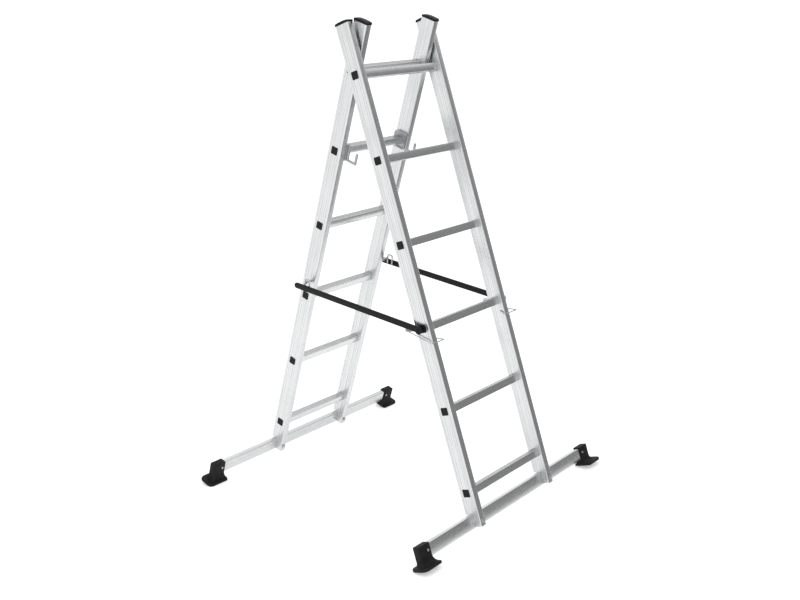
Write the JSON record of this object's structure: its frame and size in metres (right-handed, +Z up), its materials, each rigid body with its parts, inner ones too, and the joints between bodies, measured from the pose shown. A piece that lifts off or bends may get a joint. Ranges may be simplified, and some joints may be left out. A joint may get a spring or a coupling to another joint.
{
  "type": "multi position ladder",
  "caption": "Aluminium multi position ladder standing as a stepladder, with stabiliser bars, black feet and black side stays.",
  "frame": {"origin": "on the floor, below the hinge axis and midway between the side rails", "axes": "+Z up, X along the rungs, -Y towards the foot of the front section"},
  "size_m": [1.05, 1.0754, 1.6479],
  "materials": {
    "mill_aluminium": "satin",
    "zinc_steel": "zinc plated",
    "cast_grey": "as cast",
    "black_steel": "black powder coat",
    "black_plastic": "matt",
    "black_rubber": "matt"
  },
  "bodies": {
    "front_section": {"front_rail_left": "mill_aluminium", "front_rail_right": "mill_aluminium", "front_rung_1": "mill_aluminium", "front_rung_2": "mill_aluminium", "front_rung_3": "mill_aluminium", "front_rung_4": "mill_aluminium", "front_rung_5": "mill_aluminium", "front_rung_6": "mill_aluminium", "front_rung_plug_1_left": "black_plastic", "front_rung_plug_1_right": "black_plastic", "front_rung_plug_2_left": "black_plastic", "front_rung_plug_2_right": "black_plastic", "front_rung_plug_3_left": "black_plastic", "front_rung_plug_3_right": "black_plastic", "front_rung_plug_4_left": "black_plastic", "front_rung_plug_4_right": "black_plastic", "front_rung_plug_5_left": "black_plastic", "front_rung_plug_5_right": "black_plastic", "front_rung_plug_6_left": "black_plastic", "front_rung_plug_6_right": "black_plastic", "front_top_cap_left": "black_plastic", "front_bar_bolt_left": "zinc_steel", "front_foot_left": "black_rubber", "hinge_pin_left": "zinc_steel", "stay_bolt_left": "black_steel", "wire_lock_plate_left": "zinc_steel", "front_top_cap_right": "black_plastic", "front_bar_bolt_right": "zinc_steel", "front_foot_right": "black_rubber", "hinge_pin_right": "zinc_steel", "stay_bolt_right": "black_steel", "wire_lock_plate_right": "zinc_steel", "front_stabiliser_bar": "mill_aluminium"},
    "rear_section": {"rear_rail_left": "mill_aluminium", "rear_rail_right": "mill_aluminium", "rear_rung_1": "mill_aluminium", "rear_rung_2": "mill_aluminium", "rear_rung_3": "mill_aluminium", "rear_rung_4": "mill_aluminium", "rear_rung_5": "mill_aluminium", "rear_rung_6": "mill_aluminium", "rear_top_cap_left": "black_plastic", "rear_bar_bolt_left": "zinc_steel", "rear_foot_left": "black_rubber", "stay_peg_left": "zinc_steel", "rung_hook_left": "cast_grey", "rear_top_cap_right": "black_plastic", "rear_bar_bolt_right": "zinc_steel", "rear_foot_right": "black_rubber", "stay_peg_right": "zinc_steel", "rung_hook_right": "cast_grey", "rear_stabiliser_bar": "mill_aluminium"},
    "stay_left": {"stay_left": "black_steel", "stay_hook_left": "zinc_steel"},
    "wire_lock_left": {"wire_lock_left": "zinc_steel"},
    "stay_right": {"stay_right": "black_steel", "stay_hook_right": "zinc_steel"},
    "wire_lock_right": {"wire_lock_right": "zinc_steel"}
  },
  "joints": [
    {"name": "fold", "type": "hinge", "parent": "front_section", "child": "rear_section", "pos_m": [0, 0, 1.4803], "axis": [-1, 0, 0], "range_deg": [0, 25]},
    {"name": "stay_left_swing", "type": "hinge", "parent": "front_section", "child": "stay_left", "pos_m": [0, -0.28549, 0.67154], "axis": [-1, 0, 0], "range_deg": [0, 112.5]},
    {"name": "stay_right_swing", "type": "hinge", "parent": "front_section", "child": "stay_right", "pos_m": [0, -0.28549, 0.67154], "axis": [-1, 0, 0], "range_deg": [0, 112.5]},
    {"name": "wire_lock_left_lift", "type": "hinge", "parent": "front_section", "child": "wire_lock_left", "pos_m": [0, -0.22087, 0.65685], "axis": [-1, 0, 0], "range_deg": [0, 15]},
    {"name": "wire_lock_right_lift", "type": "hinge", "parent": "front_section", "child": "wire_lock_right", "pos_m": [0, -0.22087, 0.65685], "axis": [-1, 0, 0], "range_deg": [0, 15]}
  ],
  "couplings": [
    {"joint": "stay_left_swing", "follows": "fold", "ratio": 4.5},
    {"joint": "stay_right_swing", "follows": "fold", "ratio": 4.5}
  ]
}
